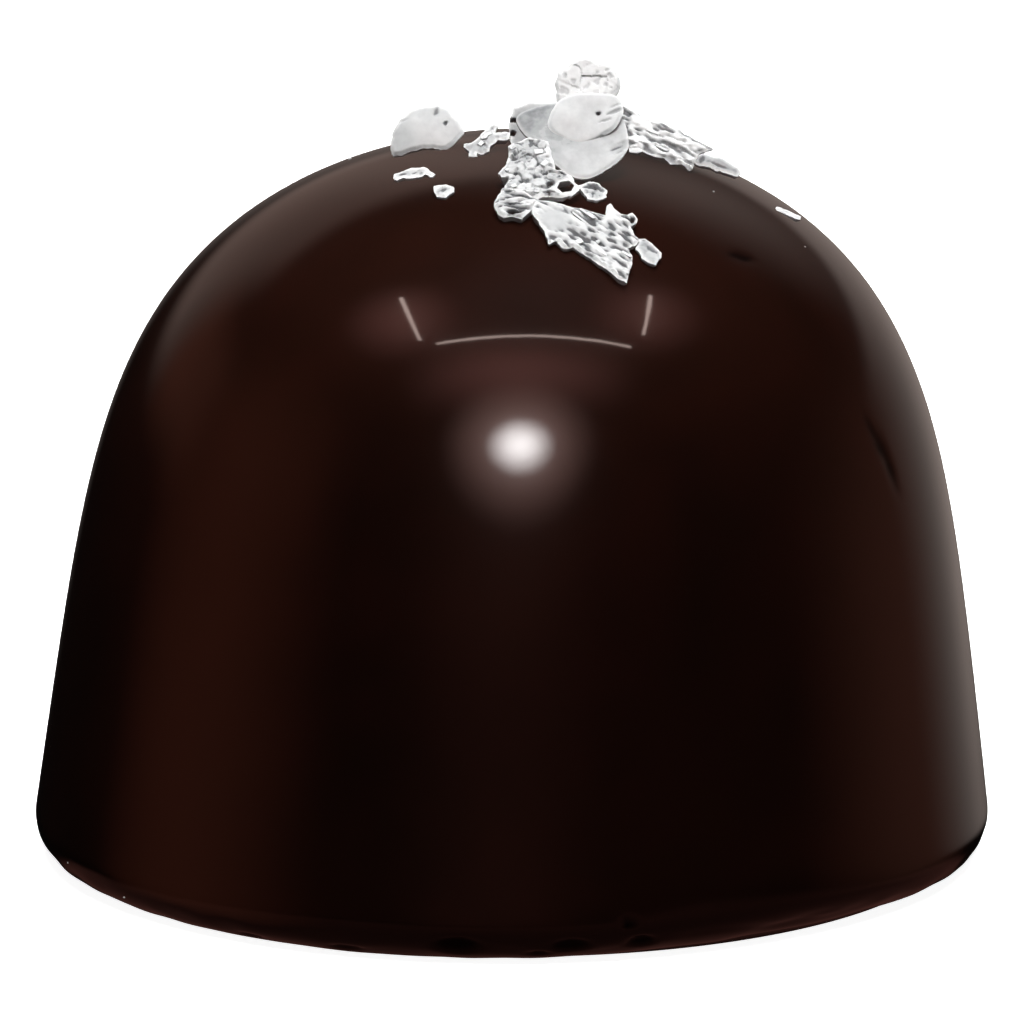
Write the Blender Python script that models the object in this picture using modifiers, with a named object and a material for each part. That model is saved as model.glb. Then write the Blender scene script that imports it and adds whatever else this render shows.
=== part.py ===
"""Round moulded chocolate praline with a few flakes of sea salt on its crown.

The praline is one turned solid with a flat foot, leaning by about a degree. The salt
flakes are thin ragged plates, set into the chocolate while it was soft, and are joined
to it as one solid.
Lengths are in millimetres here and turned into metres by MM where meshes are made.
The origin is the middle of the flat foot, +Z is up and -Y is the front.
"""

import math
from dataclasses import dataclass

import bmesh
import bpy
from mathutils import Matrix, Vector

MM = 0.001

# Driving sizes of the chocolate shell, in millimetres
FOOT_RADIUS = 14.25
CHOCOLATE_HEIGHT = 21.2
WALL_DRAFT = 0.132  # how far the wall leans in for each millimetre of height
CROWN_POWER = 5.35  # how square the shoulder is: 2 would be an ellipse
FOOT_ROUND = 1.25
AXIS_LEAN_DEGREES = 1.0  # the foot was scraped a little askew, so the dome leans towards +X

# Fineness of the turned surface
TURN_STEPS = 72
CROWN_STEPS = 16
CROWN_END_DEGREES = 78.0
WALL_STEPS = 5
FOOT_STEPS = 5
HEIGHT_SEARCH_STEPS = 40

# Fineness of a flake's round outline
ARC_STEPS = 3
WELD_DISTANCE = 1e-7
SHARP_DEGREES = 30.0

# Colours, linear
CHOCOLATE_COLOUR = (0.024, 0.009, 0.005, 1.0)
SALT_COLOUR = (0.80, 0.80, 0.79, 1.0)


@dataclass(frozen=True)
class Flake:
    """One plate of salt.

    place is where its middle is from the dome's axis, and rise is how far that middle
    is above the chocolate under it. facing is the way its face looks, in degrees from
    the front towards +X, and lean is how far it lies back from upright. outline is
    drawn in its own plane: x to the right and y up the plate.
    """

    name: str
    place: tuple
    rise: float
    facing: float
    lean: float
    thickness: float
    outline: tuple
    is_round: bool = False


FLAKES = (
    Flake(
        "left_shell", (-2.90, -0.10), 0.50, -10, 40, 0.35,
        ((-1.00, -0.40), (-0.75, -0.85), (0.25, -0.45), (0.65, -0.55), (1.20, -0.10),
         (1.05, 0.25), (0.65, 0.60), (0.20, 0.75), (-0.35, 0.65), (-0.75, 0.35)),
    ),
    Flake(
        "left_shard", (-1.15, -1.40), 0.25, 0, 50, 0.35,
        ((-0.60, -0.05), (-0.40, -0.50), (0.00, -0.50), (0.40, -0.05), (0.70, 0.00),
         (0.70, 0.30), (0.35, 0.60), (0.10, 0.40), (-0.20, 0.25)),
    ),
    Flake(
        "left_sliver", (-3.15, -2.70), 0.05, -25, 64, 0.30,
        ((-0.55, -0.25), (-0.40, -0.45), (0.15, -0.35), (0.70, -0.05), (0.30, 0.15),
         (-0.10, 0.15)),
    ),
    Flake(
        "left_crumb", (-2.30, -4.30), 0.05, -20, 60, 0.30,
        ((-0.25, -0.05), (0.10, -0.35), (0.35, -0.05), (0.10, 0.10)),
    ),
    Flake(
        "leaning_shell", (1.85, -2.70), 0.60, 8, 50, 0.30,
        ((-1.10, 0.85), (-1.05, 0.00), (-0.85, -0.55), (-0.35, -1.25), (0.10, -1.15),
         (0.65, -0.80), (1.05, -0.30), (1.20, 0.20), (1.15, 0.95), (0.80, 1.40),
         (-0.10, 1.55)),
        is_round=True,
    ),
    Flake(
        "upper_shell", (1.75, -2.15), 1.35, 4, 42, 0.30,
        ((-1.10, -0.30), (-0.85, -0.80), (-0.20, -1.15), (0.40, -0.90), (0.90, -0.50),
         (1.10, 0.10), (0.80, 0.55), (-0.55, 0.50)),
        is_round=True,
    ),
    Flake(
        "back_crystal", (1.85, -1.20), 1.50, 0, 15, 0.45,
        ((-0.95, 0.10), (-0.95, 0.70), (-0.65, 1.00), (-0.05, 1.20), (0.45, 1.05),
         (0.90, 0.60), (0.85, 0.10), (0.75, -1.70), (-0.65, -1.70)),
    ),
    Flake(
        "back_plate", (0.30, -0.45), 0.55, -12, 35, 0.35,
        ((-0.75, -0.15), (-0.65, 0.45), (-0.20, 0.60), (0.65, 0.65), (0.85, -0.80),
         (-0.55, -0.80)),
    ),
    Flake(
        "rough_crystal", (0.60, -3.90), 0.35, -4, 57, 0.55,
        ((-1.15, 0.70), (-1.05, -0.05), (-1.30, -0.35), (-0.95, -0.55), (-1.10, -0.95),
         (-0.65, -1.25), (0.15, -1.20), (1.00, -1.20), (1.20, -0.90), (0.60, -0.15),
         (0.30, 0.80), (-0.50, 1.05)),
    ),
    Flake(
        "front_lobe", (-0.30, -5.50), 0.10, -6, 60, 0.50,
        ((-0.30, 0.40), (-0.50, -0.20), (-0.30, -0.55), (0.40, -0.60), (0.65, -0.25),
         (0.90, 0.10), (0.30, 0.55)),
    ),
    Flake(
        "right_wing", (4.20, -0.45), 0.55, 5, 42, 0.30,
        ((-1.55, 1.25), (-1.40, 0.50), (-1.10, -0.15), (-0.50, -0.45), (0.05, -0.70),
         (0.40, -1.00), (0.60, -0.95), (0.90, -0.35), (1.50, -0.15), (0.55, 0.30),
         (-0.45, 0.75), (-1.15, 1.15)),
    ),
    Flake(
        "right_tip", (5.60, -0.25), 0.15, 8, 48, 0.30,
        ((-0.80, 0.25), (-0.40, 0.55), (0.20, 0.35), (0.60, 0.10), (0.65, -0.15),
         (0.30, -0.25), (-0.25, -0.15)),
    ),
    Flake(
        "front_plate", (1.85, -6.55), 0.00, 15, 58, 0.40,
        ((-1.10, 1.35), (-0.55, 1.30), (0.05, 1.05), (0.60, 0.75), (0.90, 1.15),
         (1.05, 0.85), (1.25, 0.50), (1.45, 0.10), (1.50, -0.35), (1.10, -0.65),
         (1.10, -1.05), (0.75, -2.00), (0.25, -1.50), (-0.65, -0.45), (-1.15, -0.30),
         (-1.35, 0.85)),
    ),
    Flake(
        "front_chip", (3.65, -6.60), 0.00, 22, 57, 0.35,
        ((-0.35, 0.35), (-0.50, -0.15), (-0.15, -0.60), (0.25, -0.25), (0.00, 0.25)),
    ),
    Flake(
        "middle_crumb", (2.00, -4.35), 0.05, 22, 62, 0.35,
        ((-0.45, 0.00), (-0.25, -0.40), (0.15, -0.40), (0.35, -0.20), (0.20, 0.10)),
    ),
    Flake(
        "right_needle", (7.70, -0.55), 0.00, 60, 58, 0.30,
        ((-0.50, 0.15), (-0.20, 0.20), (0.20, -0.35), (-0.10, -0.40)),
    ),
    Flake(
        "right_crumb", (3.25, -0.55), 0.00, 0, 50, 0.30,
        ((-0.20, 0.05), (-0.10, -0.15), (0.15, -0.10), (0.10, 0.10)),
    ),
)


def crown_point(turn):
    """Radius and height of the outer surface at a turn from the top, in radians."""
    height = CHOCOLATE_HEIGHT * math.cos(turn) ** (2.0 / CROWN_POWER)
    radius = (FOOT_RADIUS - WALL_DRAFT * height) * math.sin(turn)
    return radius, height


def surface_radius(height):
    """Radius of the crown and the wall at a height above the foot."""
    return crown_radius_share(height) * (FOOT_RADIUS - WALL_DRAFT * height)


def crown_radius_share(height):
    """Share of the leaning wall's radius that the crown keeps at a height."""
    return math.sqrt(max(1.0 - (height / CHOCOLATE_HEIGHT) ** CROWN_POWER, 0.0))


def surface_height(distance):
    """Height of the chocolate at a distance from the axis, found by halving."""
    low, high = 0.0, CHOCOLATE_HEIGHT
    for _ in range(HEIGHT_SEARCH_STEPS):
        middle = (low + high) / 2.0
        if surface_radius(middle) > distance:
            low = middle
        else:
            high = middle
    return low


def dome_profile():
    """Points from the top down the outer side to the middle of the foot, in millimetres."""
    crown_end = math.radians(CROWN_END_DEGREES)
    points = [crown_point(crown_end * step / CROWN_STEPS) for step in range(CROWN_STEPS + 1)]
    wall_top = points[-1][1]
    for step in range(1, WALL_STEPS):
        height = wall_top + (FOOT_ROUND - wall_top) * step / WALL_STEPS
        points.append((surface_radius(height), height))
    for step in range(FOOT_STEPS + 1):
        turn = math.radians(90.0) * step / FOOT_STEPS
        height = FOOT_ROUND * (1.0 - math.sin(turn))
        inset = FOOT_ROUND * (1.0 - math.cos(turn))
        points.append((surface_radius(height) - inset, height))
    points.append((0.0, 0.0))
    return points


def make_material(name, colour, roughness):
    """A plain Principled BSDF finish."""
    material = bpy.data.materials.new(name)
    material.use_nodes = True
    shader = material.node_tree.nodes["Principled BSDF"]
    shader.inputs["Base Color"].default_value = colour
    shader.inputs["Roughness"].default_value = roughness
    shader.inputs["Metallic"].default_value = 0.0
    return material


def make_collection(name):
    """A new collection in the scene."""
    collection = bpy.data.collections.new(name)
    bpy.context.scene.collection.children.link(collection)
    return collection


def make_dome(collection, material):
    """The chocolate body: the profile turned about the upright axis."""
    mesh = bpy.data.meshes.new("praline")
    profile = bmesh.new()
    corners = [profile.verts.new((radius * MM, 0.0, height * MM)) for radius, height in dome_profile()]
    for upper, lower in zip(corners, corners[1:]):
        profile.edges.new((upper, lower))
    profile.to_mesh(mesh)
    profile.free()
    dome = bpy.data.objects.new("praline", mesh)
    collection.objects.link(dome)
    mesh.materials.append(material)
    screw = dome.modifiers.new("turn", "SCREW")
    screw.axis = "Z"
    screw.angle = math.radians(360.0)
    screw.steps = TURN_STEPS
    screw.render_steps = TURN_STEPS
    screw.use_merge_vertices = True
    screw.merge_threshold = WELD_DISTANCE
    return dome


def flake_curve(flake):
    """The flake's outline as a filled flat curve with its thickness."""
    curve = bpy.data.curves.new(flake.name, "CURVE")
    curve.dimensions = "2D"
    curve.fill_mode = "BOTH"
    curve.extrude = flake.thickness * MM / 2.0
    if flake.is_round:
        curve.resolution_u = ARC_STEPS
        curve.render_resolution_u = ARC_STEPS
        spline = curve.splines.new("BEZIER")
        spline.bezier_points.add(len(flake.outline) - 1)
        for point, (across, along) in zip(spline.bezier_points, flake.outline):
            point.co = (across * MM, along * MM, 0.0)
            point.handle_left_type = "AUTO"
            point.handle_right_type = "AUTO"
    else:
        spline = curve.splines.new("POLY")
        spline.points.add(len(flake.outline) - 1)
        for point, (across, along) in zip(spline.points, flake.outline):
            point.co = (across * MM, along * MM, 0.0, 1.0)
    spline.use_cyclic_u = True
    return curve


def flake_placement(flake):
    """Matrix that stands the flat outline on the chocolate, facing and leaning as stated."""
    height = surface_height(math.hypot(*flake.place)) + flake.rise
    place = Matrix.Translation(Vector((flake.place[0], flake.place[1], height)) * MM)
    facing = Matrix.Rotation(math.radians(flake.facing), 4, "Z")
    lean = Matrix.Rotation(math.radians(90.0 - flake.lean), 4, "X")
    return place @ facing @ lean


def make_flake(flake, collection, material):
    """One salt flake as a closed mesh object."""
    outline = bpy.data.objects.new(flake.name, flake_curve(flake))
    collection.objects.link(outline)
    outline.matrix_world = flake_placement(flake)
    bpy.context.view_layer.update()
    evaluated = outline.evaluated_get(bpy.context.evaluated_depsgraph_get())
    mesh = bpy.data.meshes.new_from_object(evaluated)
    body = bmesh.new()
    body.from_mesh(mesh)
    bmesh.ops.remove_doubles(body, verts=body.verts, dist=WELD_DISTANCE)
    body.to_mesh(mesh)
    body.free()
    mesh.materials.clear()
    mesh.materials.append(material)
    solid = bpy.data.objects.new(flake.name, mesh)
    solid.matrix_world = outline.matrix_world
    collection.objects.link(solid)
    bpy.data.objects.remove(outline)
    return solid


def join_flakes(dome, flakes):
    """Union of the chocolate and every flake, applied, with the loose flakes removed."""
    union = dome.modifiers.new("salt", "BOOLEAN")
    union.operation = "UNION"
    union.operand_type = "COLLECTION"
    union.collection = flakes
    union.solver = "EXACT"
    union.material_mode = "TRANSFER"
    bpy.context.view_layer.update()
    evaluated = dome.evaluated_get(bpy.context.evaluated_depsgraph_get())
    joined = bpy.data.meshes.new_from_object(evaluated)
    dome.modifiers.clear()
    dome.data = joined
    for solid in list(flakes.objects):
        bpy.data.objects.remove(solid)
    bpy.data.collections.remove(flakes)
    joined.shade_smooth()
    joined.set_sharp_from_angle(angle=math.radians(SHARP_DEGREES))


def lean_over(dome):
    """Shifts each level towards +X by its height, which keeps the foot flat and in place."""
    slope = math.tan(math.radians(AXIS_LEAN_DEGREES))
    dome.data.transform(Matrix.Shear("XY", 4, (slope, 0.0)))


def main():
    """Build the praline in an empty scene."""
    for leftover in list(bpy.data.objects):
        bpy.data.objects.remove(leftover)
    parts = make_collection("chocolate_praline")
    flakes = make_collection("salt_flakes")
    chocolate = make_material("dark_chocolate", CHOCOLATE_COLOUR, 0.18)
    salt = make_material("sea_salt", SALT_COLOUR, 0.35)
    dome = make_dome(parts, chocolate)
    for flake in FLAKES:
        make_flake(flake, flakes, salt)
    join_flakes(dome, flakes)
    lean_over(dome)


if __name__ == "__main__":
    main()
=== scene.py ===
"""Look of a moulded dark chocolate praline with flakes of sea salt on its crown.

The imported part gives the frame: its origin is the middle of the flat foot, +Z is up and -Y is
the front. The chocolate and the salt are built here as fine meshes that stand for its one
solid. Sizes are in millimetres and are turned into metres where a mesh is made.
"""

from __future__ import annotations

import logging
import math
from dataclasses import dataclass, field
from enum import Enum
from typing import Any

import bpy
import numpy as np
from mathutils import Matrix, Vector, geometry, noise

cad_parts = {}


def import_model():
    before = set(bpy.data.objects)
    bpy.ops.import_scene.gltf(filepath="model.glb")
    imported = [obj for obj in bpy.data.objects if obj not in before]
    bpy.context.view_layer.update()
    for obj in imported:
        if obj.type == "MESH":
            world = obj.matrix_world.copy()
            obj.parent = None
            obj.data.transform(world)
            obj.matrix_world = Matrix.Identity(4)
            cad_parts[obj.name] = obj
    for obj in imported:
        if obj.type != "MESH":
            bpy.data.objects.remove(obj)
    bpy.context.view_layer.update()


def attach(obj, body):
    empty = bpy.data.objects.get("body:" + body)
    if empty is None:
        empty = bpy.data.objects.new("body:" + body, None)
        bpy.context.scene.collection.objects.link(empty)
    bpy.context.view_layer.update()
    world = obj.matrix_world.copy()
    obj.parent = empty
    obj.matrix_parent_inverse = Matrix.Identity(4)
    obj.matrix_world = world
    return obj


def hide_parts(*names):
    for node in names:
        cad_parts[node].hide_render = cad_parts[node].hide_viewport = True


LOG = logging.getLogger("praline")
MM = 0.001
BODY = "root"
NODE = "praline"

WHITE = (1.0, 1.0, 1.0, 1.0)
SMOOTH = "SMOOTHSTEP"

Point = tuple[float, float]
Colour = tuple[float, float, float, float]
Face = tuple[int, ...]
Socket = bpy.types.NodeSocket


def linear(hex_colour: str) -> Colour:
    """Turn an sRGB hex colour into linear light.

    Args:
        hex_colour: Six hex digits after a hash sign.

    Returns:
        Linear red, green and blue, and an alpha of one.
    """
    levels = [int(hex_colour[start:start + 2], 16) / 255.0 for start in (1, 3, 5)]
    light = [
        level / 12.92 if level <= 0.04045 else ((level + 0.055) / 1.055) ** 2.4
        for level in levels
    ]
    return (light[0], light[1], light[2], 1.0)


class NodeSheet:
    """Node tree of a finish or a lamp, written as calls that hand sockets on."""

    def __init__(self, tree: bpy.types.NodeTree) -> None:
        """Start with an empty tree."""
        tree.nodes.clear()
        self.tree = tree

    def add(
        self, kind: str, inputs: dict[str | int, Any], output: str | int = 0, **options: Any,
    ) -> Socket:
        """Add a node.

        Args:
            kind: Blender's name for the type of node, without its first part.
            inputs: A value or a feeding socket for each input, by name or number.
            output: Name or number of the output that is handed on.
            options: Properties of the node.

        Returns:
            That output.
        """
        node = self.tree.nodes.new(f"ShaderNode{kind}")
        for name, value in options.items():
            setattr(node, name, value)
        for name, value in inputs.items():
            if isinstance(value, bpy.types.NodeSocket):
                self.tree.links.new(value, node.inputs[name])
            else:
                node.inputs[name].default_value = value
        return node.outputs[output]

    def close(self, kind: str, surface: Socket) -> None:
        """End the tree in an output node."""
        node = self.tree.nodes.new(f"ShaderNodeOutput{kind}")
        self.tree.links.new(surface, node.inputs["Surface"])

    def place(self) -> Socket:
        """Place on the object, in metres."""
        return self.add("TexCoord", {}, "Object")

    def attribute(self, name: str) -> Socket:
        """Value that the mesh carries at each corner."""
        return self.add("Attribute", {}, "Fac", attribute_name=name)

    def noise(
        self, place: Socket, size: float, detail: float, roughness: float = 0.5,
        distortion: float = 0.0,
    ) -> Socket:
        """Add a cloudy pattern.

        Args:
            place: Where it is read.
            size: Rough width of one cell, in millimetres.
            detail: How many finer layers it has.
            roughness: How strong those are.
            distortion: How far it is stirred.

        Returns:
            Its value, mostly between 0.3 and 0.7.
        """
        return self.add("TexNoise", {
            "Vector": place, "Scale": 1.0 / (size * MM), "Detail": detail,
            "Roughness": roughness, "Distortion": distortion,
        })

    def math(self, operation: str, *values: float | Socket, clamp: bool = False) -> Socket:
        """Work out an operation on numbers."""
        return self.add("Math", dict(enumerate(values)), operation=operation, use_clamp=clamp)

    def span(
        self, value: Socket, old: Point = (0.0, 1.0), new: Point = (0.0, 1.0),
        curve: str = "LINEAR",
    ) -> Socket:
        """Carry a value from one span over to another.

        Args:
            value: The value.
            old: Where it starts and ends.
            new: What those ends become. Beyond them it is held.
            curve: How it runs between them.

        Returns:
            The new value.
        """
        return self.add("MapRange", {
            "Value": value, "From Min": old[0], "From Max": old[1], "To Min": new[0],
            "To Max": new[1],
        }, interpolation_type=curve)

    def mix(self, share: Socket, first: Colour | Socket, second: Colour | Socket) -> Socket:
        """Blend from the first colour to the second."""
        return self.add("Mix", {0: share, 6: first, 7: second}, 2, data_type="RGBA")

    def bump(self, height: Socket, strength: float, depth: float) -> Socket:
        """Tilt the surface as a relief of this depth in millimetres would."""
        return self.add("Bump", {"Height": height, "Strength": strength, "Distance": depth * MM})


def new_finish(name: str) -> tuple[bpy.types.Material, NodeSheet]:
    """Start a node material.

    Args:
        name: Name of the finish.

    Returns:
        The material and its empty node tree.
    """
    material = bpy.data.materials.new(name)
    material.use_nodes = True
    return material, NodeSheet(material.node_tree)


def add_object(name: str, data: bpy.types.ID) -> bpy.types.Object:
    """Put a mesh, light or camera into the scene as an object."""
    thing = bpy.data.objects.new(name, data)
    bpy.context.scene.collection.objects.link(thing)
    return thing


def add_mesh(
    name: str, corners: Any, faces: list[Face], material: bpy.types.Material,
    carried: tuple[str, np.ndarray] | None = None,
) -> bpy.types.Object:
    """Make a mesh object.

    Args:
        name: Name of the mesh and the object.
        corners: Its corners in metres.
        faces: Its faces by corner number.
        material: Its finish.
        carried: Name and values of what it carries at each corner for the finish.

    Returns:
        The object.
    """
    mesh = bpy.data.meshes.new(name)
    mesh.from_pydata(corners, [], faces)
    if carried:
        layer = mesh.attributes.new(carried[0], "FLOAT", "POINT")
        layer.data.foreach_set("value", carried[1].astype(np.float32))
    mesh.materials.append(material)
    return add_object(name, mesh)


def smoothstep(value: np.ndarray) -> np.ndarray:
    """Ease values from 0 to 1, flat at both ends."""
    share = np.clip(value, 0.0, 1.0)
    return share * share * (3.0 - 2.0 * share)


def ripple(x: np.ndarray, y: np.ndarray, size: float, seed: float) -> np.ndarray:
    """Smooth random field over a plane.

    Args:
        x: Places across, in millimetres.
        y: Places along, in millimetres.
        size: Rough size of one swell, in millimetres.
        seed: Slice of the field, so that each use differs.

    Returns:
        Values between about -1 and 1.
    """
    return np.array([
        noise.noise(Vector((across / size, along / size, seed)))
        for across, along in zip(x, y)
    ])


# Finishes


@dataclass(frozen=True)
class TemperedChocolate:
    """Dark couverture, tempered and cast in a polished polycarbonate mould.

    Good temper against a polished wall sets with a mirror gloss over a nearly black brown. The
    cocoa butter just below the skin scatters a little, so every reflection has a soft halo.
    """

    cocoa_mass: str = "#1A0B07"
    cocoa_butter: str = "#220E09"
    dull_scrape: str = "#2B1814"
    pit_shadow: str = "#030101"
    gloss: float = 0.8
    worn_gloss: float = 0.03
    index: float = 1.47
    body_shine: float = 0.12
    skin_roughness: Point = (0.17, 0.25)
    gloss_roughness: float = 0.05
    cloud_size: float = 7.0
    cloud_share: float = 0.65
    swirl_size: float = 2.2
    polish_size: float = 0.9
    polish_depth: float = 0.004
    scrape_size: float = 0.25
    scrape_turn: float = 0.6
    scraped_height: Point = (0.15, 0.02)

    def material(self) -> bpy.types.Material:
        """Build the chocolate's node material.

        Returns:
            The finished material.
        """
        material, sheet = new_finish("tempered_dark_chocolate")
        place = sheet.place()
        cloud = sheet.noise(place, self.cloud_size, 3.0, distortion=0.8)
        swirl = sheet.noise(place, self.swirl_size, 4.0, 0.55)
        blend = sheet.math(
            "MULTIPLY_ADD", cloud, self.cloud_share,
            sheet.math("MULTIPLY", swirl, 1.0 - self.cloud_share),
        )
        brown = sheet.mix(
            sheet.span(blend, (0.35, 0.65)), linear(self.cocoa_mass), linear(self.cocoa_butter),
        )
        high, low = self.scraped_height
        height = sheet.add("SeparateXYZ", {"Vector": place}, "Z")
        underside = sheet.span(height, (high * MM, low * MM))
        body = sheet.mix(underside, brown, linear(self.dull_scrape))
        # Lost gloss of the marks; the base colour below also darkens with it as painted shade.
        gloss_loss_and_shade = sheet.attribute("gloss_loss_and_shade")
        wear = sheet.math("MAXIMUM", gloss_loss_and_shade, underside)
        drawn = sheet.add("Mapping", {
            "Vector": place, "Scale": (0.12, 1.0, 1.0), "Rotation": (0.0, 0.0, self.scrape_turn),
        })
        scrape = sheet.math("MULTIPLY", sheet.noise(drawn, self.scrape_size, 3.0), underside)
        polish = sheet.noise(place, self.polish_size, 2.0)
        bump = sheet.bump(
            sheet.math("MULTIPLY_ADD", scrape, 3.0, polish), 0.35, self.polish_depth,
        )
        shader = sheet.add("BsdfPrincipled", {
            # Marks darken towards pit_shadow: painted shade in the pits at the foot and the dull
            # spots.
            "Base Color": sheet.mix(gloss_loss_and_shade, body, linear(self.pit_shadow)),
            "Roughness": sheet.span(blend, new=self.skin_roughness),
            "IOR": self.index, "Specular IOR Level": self.body_shine,
            "Coat Weight": sheet.span(wear, new=(self.gloss, self.worn_gloss)),
            "Coat IOR": self.index, "Coat Roughness": self.gloss_roughness,
            "Normal": bump, "Coat Normal": bump,
        })
        sheet.close("Material", shader)
        return material


@dataclass(frozen=True)
class FlakySalt:
    """Flaky sea salt, halite crust that grew on still brine.

    Clear where a plate is thin and even, so the chocolate greys it from behind, and white
    along its broken edges and growth steps, where light is scattered. In pits, grooves and gaps
    between crystals its colour is darkened towards a near-black brown, a painted shade.
    """

    clear: str = "#85898C"
    white: str = "#F5F6F6"
    # Painted shade for pits and gaps, the dark of the chocolate below.
    gap_shade: str = "#2B2320"
    index: float = 1.544
    grain_size: float = 0.22
    grain_depth: float = 0.006
    cloudiness: float = 0.05
    clear_roughness: float = 0.2
    white_roughness: float = 0.45
    clear_transmission: float = 0.3
    clear_below: float = 0.22

    def material(self) -> bpy.types.Material:
        """Build the salt's node material.

        Returns:
            The finished material.
        """
        material, sheet = new_finish("flaky_sea_salt")
        frost_and_shade = sheet.attribute("frost_and_shade")
        grain = sheet.noise(sheet.place(), self.grain_size, 2.0)
        cloudy = sheet.span(grain, (0.35, 0.65), (-self.cloudiness, self.cloudiness))
        scatter = sheet.math("ADD", frost_and_shade, cloudy, clamp=True)
        colour = sheet.mix(scatter, linear(self.clear), linear(self.white))
        # Below zero the colour turns towards the dark gap colour, a painted shade.
        gap_shade_share = sheet.span(frost_and_shade, (0.0, -1.0))
        roughness = (self.clear_roughness, self.white_roughness)
        shader = sheet.add("BsdfPrincipled", {
            "Base Color": sheet.mix(gap_shade_share, colour, linear(self.gap_shade)),
            "Roughness": sheet.span(scatter, new=roughness),
            "IOR": self.index,
            "Transmission Weight": sheet.span(
                scatter, (0.0, self.clear_below), (self.clear_transmission, 0.0),
            ),
            "Normal": sheet.bump(grain, 0.5, self.grain_depth),
        })
        sheet.close("Material", shader)
        return material


@dataclass(frozen=True)
class SweepPaper:
    """Matt white background paper, evenly lit well away from the middle."""

    white: str = "#F4F4F4"
    lit: Point = (0.07, 0.6)
    lift: Point = (0.92, 1.0)

    def material(self) -> bpy.types.Material:
        """Build the paper's node material.

        Returns:
            The finished material.
        """
        material, sheet = new_finish("white_sweep_paper")
        distance = sheet.add("VectorMath", {0: sheet.place()}, "Value", operation="LENGTH")
        shader = sheet.add("BsdfPrincipled", {
            "Base Color": linear(self.white), "Roughness": 0.9, "Specular IOR Level": 0.1,
            "Emission Color": WHITE,
            "Emission Strength": sheet.span(distance, self.lit, self.lift, SMOOTH),
        })
        sheet.close("Material", shader)
        return material


# Chocolate


@dataclass(frozen=True)
class DomeProfile:
    """Outer line of the moulded body, turned about an axis that leans a little.

    crown_power is how square the shoulder is, and wall_draft how far the wall leans in for
    each millimetre of height.
    """

    foot_radius: float = 14.25
    height: float = 21.2
    wall_draft: float = 0.132
    crown_power: float = 5.35
    foot_round: float = 1.25
    axis_lean_degrees: float = 1.0

    def crown_point(self, turn: float) -> Point:
        """Find a point of the crown.

        Args:
            turn: Turn from the top, in radians.

        Returns:
            Radius and height.
        """
        height = self.height * math.cos(turn) ** (2.0 / self.crown_power)
        return (self.foot_radius - self.wall_draft * height) * math.sin(turn), height

    def radius_at(self, height: float) -> float:
        """Radius of the crown and the wall at a height above the foot."""
        share = max(1.0 - (height / self.height) ** self.crown_power, 0.0)
        return math.sqrt(share) * (self.foot_radius - self.wall_draft * height)

    def height_at(self, distance: float) -> float:
        """Find the chocolate's height at a distance from the axis.

        Args:
            distance: Distance from the dome's axis.

        Returns:
            Height above the foot.
        """
        low, high = 0.0, self.height
        for _ in range(40):
            middle = (low + high) / 2.0
            if self.radius_at(middle) > distance:
                low = middle
            else:
                high = middle
        return low

    def lean(self) -> Matrix:
        """Shear that shifts each level towards +X by its height."""
        slope = math.tan(math.radians(self.axis_lean_degrees))
        return Matrix.Shear("XY", 4, (slope, 0.0))


@dataclass(frozen=True)
class Mark:
    """A shallow dent or pit in the skin.

    around is its place from the front towards +X, in degrees, and height its place above the
    foot. width runs around the body, tall up it, and tilt turns the mark clockwise. The last
    value is how far its skin has lost the gloss and how far its colour is darkened with
    painted shade, from 0 to 1.
    """

    around: float
    height: float
    width: float
    tall: float
    depth: float
    tilt: float = 0.0
    crispness: float = 1.0
    dull_and_shade: float = 0.0


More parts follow.
